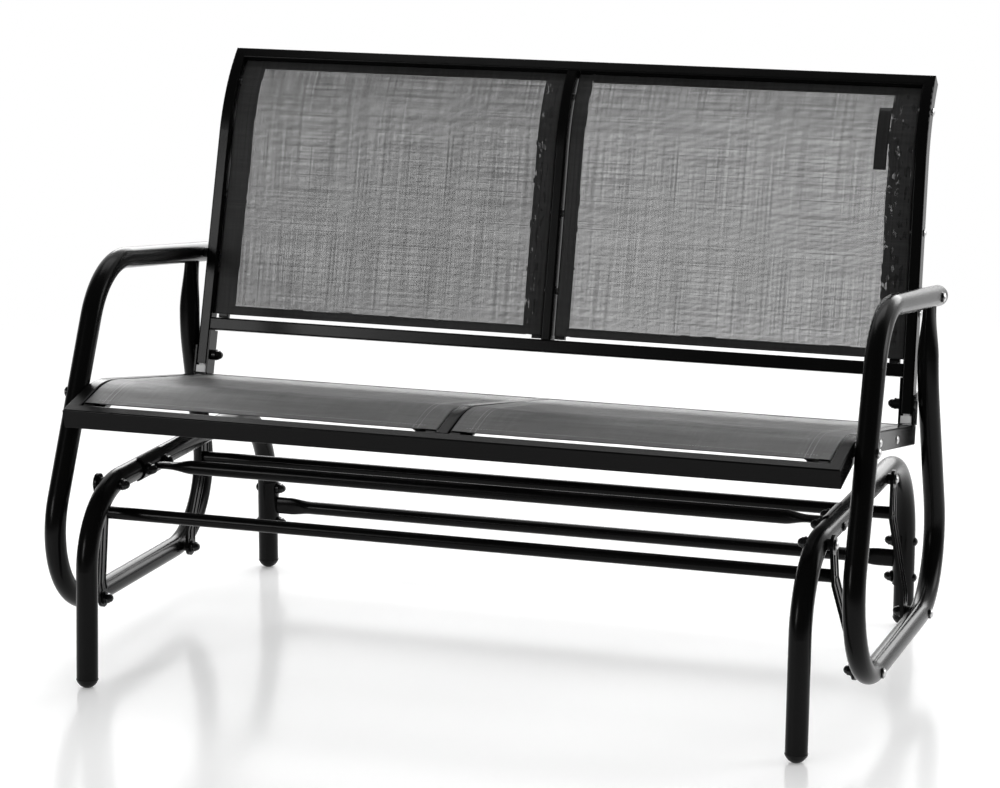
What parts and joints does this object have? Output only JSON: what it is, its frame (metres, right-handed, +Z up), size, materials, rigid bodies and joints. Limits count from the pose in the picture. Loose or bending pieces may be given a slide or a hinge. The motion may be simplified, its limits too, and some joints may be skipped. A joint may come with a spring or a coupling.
{
  "type": "glider bench",
  "caption": "Outdoor glider bench: mesh sling seat and back in a tube frame that swings on hangers from an arched tube base.",
  "frame": {"origin": "on the floor, midway between the four feet", "axes": "+X along the bench to the sitter's left hand, +Y to the rear, +Z up"},
  "size_m": [1.2566, 0.7311, 0.8676],
  "materials": {
    "black_coat": "satin black powder coat",
    "black_plastic": "moulded",
    "bar_plug_plastic": "moulded",
    "pale_plastic": "moulded",
    "bearing_plastic": "moulded",
    "black_nuts": "black plated",
    "zinc": "zinc plated",
    "seat_mesh": "woven coated mesh",
    "back_mesh": "open woven coated mesh",
    "tab_cloth": "plain sewn tab"
  },
  "bodies": {
    "base": {"base_feet": "black_plastic", "base_side_frame_left": "black_coat", "base_side_frame_right": "black_coat", "lower_cross_tube": "black_coat", "lower_saddles": "black_coat", "saddle_bolt_washers": "black_nuts", "saddle_bolts": "black_nuts", "saddle_cap_nuts": "black_nuts", "upper_cross_tube": "black_coat", "upper_pivot_bolts": "zinc", "upper_pivot_cap_nuts": "black_nuts", "upper_pivot_spacers": "bearing_plastic", "upper_pivot_washers": "black_nuts", "upper_saddles": "black_coat"},
    "front_hangers": {"front_hanger_bushes": "bearing_plastic", "front_hanger_left": "black_coat", "front_hanger_right": "black_coat", "front_hanger_tie_tube": "black_coat"},
    "rear_hangers": {"rear_hanger_bushes": "bearing_plastic", "rear_hanger_left": "black_coat", "rear_hanger_right": "black_coat", "rear_hanger_tie_tube": "black_coat"},
    "glider": {"arm_bolts": "zinc", "arm_loop_left": "black_coat", "arm_loop_right": "black_coat", "arm_spacers": "bearing_plastic", "armrest_end_caps": "black_plastic", "back_centre_post": "black_coat", "back_centre_studs": "zinc", "back_cross_rail": "black_coat", "back_side_tube_left": "black_coat", "back_side_tube_right": "black_coat", "back_sling_bar_plugs": "bar_plug_plastic", "back_sling_bars": "black_coat", "back_sling_bolts": "zinc", "back_sling_left": "back_mesh", "back_sling_right": "back_mesh", "back_sling_spacers": "zinc", "back_top_rail": "black_coat", "back_tube_plugs": "pale_plastic", "corner_bolts": "zinc", "corner_brackets": "black_coat", "corner_cap_nuts": "black_nuts", "glider_bolt_washers": "black_nuts", "lower_pivot_bolts": "zinc", "lower_pivot_cap_nuts": "black_nuts", "lower_pivot_spacers": "bearing_plastic", "seat_centre_bar": "black_coat", "seat_centre_studs": "zinc", "seat_front_rail": "black_coat", "seat_rear_rail": "black_coat", "seat_side_rail_left": "black_coat", "seat_side_rail_right": "black_coat", "seat_sling_bar_plugs": "bar_plug_plastic", "seat_sling_bars": "black_coat", "seat_sling_bolts": "zinc", "seat_sling_left": "seat_mesh", "seat_sling_right": "seat_mesh", "seat_sling_spacers": "zinc", "sling_tab": "tab_cloth"}
  },
  "joints": [
    {"name": "front_hanger_swing", "type": "hinge", "parent": "base", "child": "front_hangers", "pos_m": [0, -0.244, 0.28529], "axis": [1, 0, 0], "range_deg": [-12, 12]},
    {"name": "rear_hanger_swing", "type": "hinge", "parent": "base", "child": "rear_hangers", "pos_m": [0, 0.146, 0.2855], "axis": [1, 0, 0], "range_deg": [-12, 12]},
    {"name": "glider_swing", "type": "hinge", "parent": "front_hangers", "child": "glider", "pos_m": [0, -0.192, 0.09049], "axis": [1, 0, 0], "range_deg": [-14.6, 14.6]}
  ],
  "couplings": [
    {"joint": "rear_hanger_swing", "follows": "front_hanger_swing", "ratio": 0.97433},
    {"joint": "glider_swing", "follows": "front_hanger_swing", "ratio": -1.1954}
  ]
}
